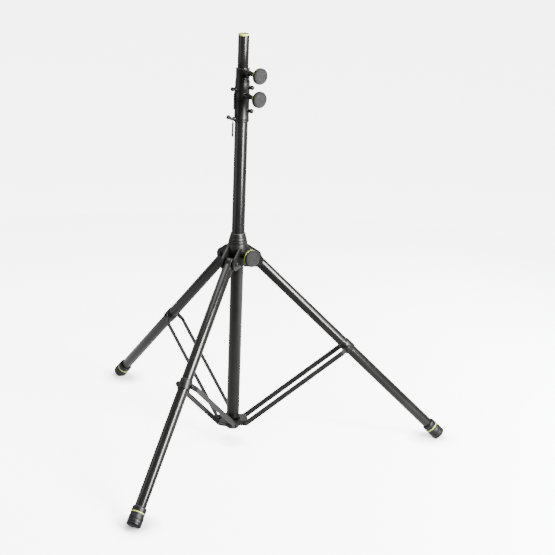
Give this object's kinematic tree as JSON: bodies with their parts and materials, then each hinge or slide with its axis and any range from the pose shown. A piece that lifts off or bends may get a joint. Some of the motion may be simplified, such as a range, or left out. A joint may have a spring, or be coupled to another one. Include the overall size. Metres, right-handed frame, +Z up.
{
  "type": "speaker tripod stand",
  "caption": "Folding tripod stand for a loudspeaker: tubular legs on a sliding hub, twin flat-bar braces, and a telescopic pole in stages with clamp knobs.",
  "frame": {"origin": "on the column's axis, at the level of the floor that the feet stand on", "axes": "+Z up the column, +X towards the right-hand leg, the other legs at 120 and 240 degrees about +Z"},
  "size_m": [1.0999, 1.2628, 1.373],
  "materials": {
    "powder_coat": "satin black powder coat",
    "black_plastic": "fine moulded texture",
    "knob_plastic": "textured dark grey",
    "lime_plastic": "satin lime",
    "foot_rubber": "matte moulded rubber",
    "bush_plastic": "smooth bearing plastic",
    "black_steel": "black zinc plated",
    "bright_steel": "zinc plated"
  },
  "bodies": {
    "column": {"base_tube": "powder_coat", "lower_hub": "black_plastic", "lower_hub_cap": "black_plastic", "lower_hub_bolts": "black_steel", "lower_collar": "black_plastic", "lower_collar_bush": "bush_plastic", "lower_collar_screws": "bright_steel"},
    "leg_hub": {"hub_body": "black_plastic", "hub_bushes": "bush_plastic", "leg_pivot_bolts": "black_steel"},
    "right_leg": {"right_leg_tube": "powder_coat", "right_leg_knuckle": "black_plastic", "right_leg_bracket": "black_plastic", "right_foot_cap": "foot_rubber", "right_foot_ring": "lime_plastic"},
    "right_brace": {"right_brace_bars": "powder_coat", "right_brace_rivets": "black_steel"},
    "back_leg": {"back_leg_tube": "powder_coat", "back_leg_knuckle": "black_plastic", "back_leg_bracket": "black_plastic", "back_foot_cap": "foot_rubber", "back_foot_ring": "lime_plastic"},
    "back_brace": {"back_brace_bars": "powder_coat", "back_brace_rivets": "black_steel"},
    "front_leg": {"front_leg_tube": "powder_coat", "front_leg_knuckle": "black_plastic", "front_leg_bracket": "black_plastic", "front_foot_cap": "foot_rubber", "front_foot_ring": "lime_plastic"},
    "front_brace": {"front_brace_bars": "powder_coat", "front_brace_rivets": "black_steel"},
    "middle_stage": {"mid_tube": "powder_coat", "mid_tube_guide": "bush_plastic", "upper_collar": "black_plastic", "upper_collar_bush": "bush_plastic", "upper_collar_screws": "bright_steel"},
    "top_stage": {"top_tube": "powder_coat", "top_tube_guide": "bush_plastic", "top_plug": "black_plastic", "top_ring": "lime_plastic"},
    "hub_clamp_shoe": {"hub_shoe": "bright_steel"},
    "hub_knob": {"hub_knob_head": "knob_plastic", "hub_knob_ring": "lime_plastic", "hub_knob_stud": "bright_steel"},
    "lower_clamp_shoe": {"lower_shoe": "bright_steel"},
    "lower_knob": {"lower_knob_head": "knob_plastic", "lower_knob_ring": "lime_plastic", "lower_knob_stud": "bright_steel"},
    "upper_clamp_shoe": {"upper_shoe": "bright_steel"},
    "upper_knob": {"upper_knob_head": "knob_plastic", "upper_knob_ring": "lime_plastic", "upper_knob_stud": "bright_steel"},
    "lower_locking_plunger": {"lower_plunger": "black_steel"},
    "upper_locking_plunger": {"upper_plunger": "black_steel"},
    "lower_safety_pin": {"lower_pin": "black_steel"},
    "lower_pin_hanger": {"lower_pin_link": "bright_steel"},
    "upper_safety_pin": {"upper_pin": "black_steel"},
    "upper_pin_hanger": {"upper_pin_link": "bright_steel"}
  },
  "joints": [
    {"name": "hub_slide", "type": "slide", "parent": "column", "child": "leg_hub", "axis": [0, 0, 1], "range_m": [0, 0.29321]},
    {"name": "right_leg_hinge", "type": "hinge", "parent": "leg_hub", "child": "right_leg", "pos_m": [0.06, 0, 0.645], "axis": [0, 1, 0], "range_deg": [0, 44.24]},
    {"name": "right_brace_hinge", "type": "hinge", "parent": "column", "child": "right_brace", "pos_m": [0.042, 0, 0.078], "axis": [0, 1, 0], "range_deg": [-47.9, 0]},
    {"name": "back_leg_hinge", "type": "hinge", "parent": "leg_hub", "child": "back_leg", "pos_m": [-0.03, 0.05196, 0.645], "axis": [-0.866, -0.5, 0], "range_deg": [0, 44.24]},
    {"name": "back_brace_hinge", "type": "hinge", "parent": "column", "child": "back_brace", "pos_m": [-0.021, 0.03637, 0.078], "axis": [-0.866, -0.5, 0], "range_deg": [-47.9, 0]},
    {"name": "front_leg_hinge", "type": "hinge", "parent": "leg_hub", "child": "front_leg", "pos_m": [-0.03, -0.05196, 0.645], "axis": [0.866, -0.5, 0], "range_deg": [0, 44.24]},
    {"name": "front_brace_hinge", "type": "hinge", "parent": "column", "child": "front_brace", "pos_m": [-0.021, -0.03637, 0.078], "axis": [0.866, -0.5, 0], "range_deg": [-47.9, 0]},
    {"name": "middle_stage_slide", "type": "slide", "parent": "column", "child": "middle_stage", "axis": [0, 0, 1], "range_m": [0, 0.8]},
    {"name": "top_stage_slide", "type": "slide", "parent": "middle_stage", "child": "top_stage", "axis": [0, 0, 1], "range_m": [0, 0.8]},
    {"name": "hub_shoe_slide", "type": "slide", "parent": "leg_hub", "child": "hub_clamp_shoe", "axis": [0.5, -0.866, 0], "range_m": [0, 0.003]},
    {"name": "hub_knob_turn", "type": "hinge", "parent": "hub_clamp_shoe", "child": "hub_knob", "pos_m": [0.043, -0.07448, 0.665], "axis": [0.5, -0.866, 0], "range_deg": [0, 720]},
    {"name": "lower_shoe_slide", "type": "slide", "parent": "column", "child": "lower_clamp_shoe", "axis": [0.5, -0.866, 0], "range_m": [0, 0.003]},
    {"name": "lower_knob_turn", "type": "hinge", "parent": "lower_clamp_shoe", "child": "lower_knob", "pos_m": [0.0485, -0.084, 1.181], "axis": [0.5, -0.866, 0], "range_deg": [0, 720]},
    {"name": "upper_shoe_slide", "type": "slide", "parent": "middle_stage", "child": "upper_clamp_shoe", "axis": [0.5, -0.866, 0], "range_m": [0, 0.003]},
    {"name": "upper_knob_turn", "type": "hinge", "parent": "upper_clamp_shoe", "child": "upper_knob", "pos_m": [0.0485, -0.084, 1.254], "axis": [0.5, -0.866, 0], "range_deg": [0, 720]},
    {"name": "lower_plunger_pull", "type": "slide", "parent": "column", "child": "lower_locking_plunger", "axis": [0.866, -0.5, 0], "range_m": [0, 0.008], "stiffness_N_per_m": 800, "springref_m": -0.004},
    {"name": "upper_plunger_pull", "type": "slide", "parent": "middle_stage", "child": "upper_locking_plunger", "axis": [0.866, -0.5, 0], "range_m": [0, 0.008], "stiffness_N_per_m": 800, "springref_m": -0.004},
    {"name": "lower_pin_pull", "type": "slide", "parent": "column", "child": "lower_safety_pin", "axis": [-0.9397, -0.342, 0], "range_m": [0, 0.025]},
    {"name": "lower_link_swing", "type": "hinge", "parent": "lower_safety_pin", "child": "lower_pin_hanger", "pos_m": [-0.02781, -0.01012, 1.106], "axis": [-0.9397, -0.342, 0], "range_deg": [-80, 80]},
    {"name": "upper_pin_pull", "type": "slide", "parent": "middle_stage", "child": "upper_safety_pin", "axis": [-0.9397, -0.342, 0], "range_m": [0, 0.025]},
    {"name": "upper_link_swing", "type": "hinge", "parent": "upper_safety_pin", "child": "upper_pin_hanger", "pos_m": [-0.02481, -0.00903, 1.2], "axis": [-0.9397, -0.342, 0], "range_deg": [-80, 80]}
  ],
  "couplings": [
    {"joint": "right_leg_hinge", "follows": "hub_slide", "rad_per_m": 2.6334},
    {"joint": "right_brace_hinge", "follows": "hub_slide", "rad_per_m": -2.8511},
    {"joint": "back_leg_hinge", "follows": "hub_slide", "rad_per_m": 2.6334},
    {"joint": "back_brace_hinge", "follows": "hub_slide", "rad_per_m": -2.8511},
    {"joint": "front_leg_hinge", "follows": "hub_slide", "rad_per_m": 2.6334},
    {"joint": "front_brace_hinge", "follows": "hub_slide", "rad_per_m": -2.8511},
    {"joint": "hub_knob_turn", "follows": "hub_shoe_slide", "rad_per_m": 4188.8},
    {"joint": "lower_knob_turn", "follows": "lower_shoe_slide", "rad_per_m": 4188.8},
    {"joint": "upper_knob_turn", "follows": "upper_shoe_slide", "rad_per_m": 4188.8}
  ]
}
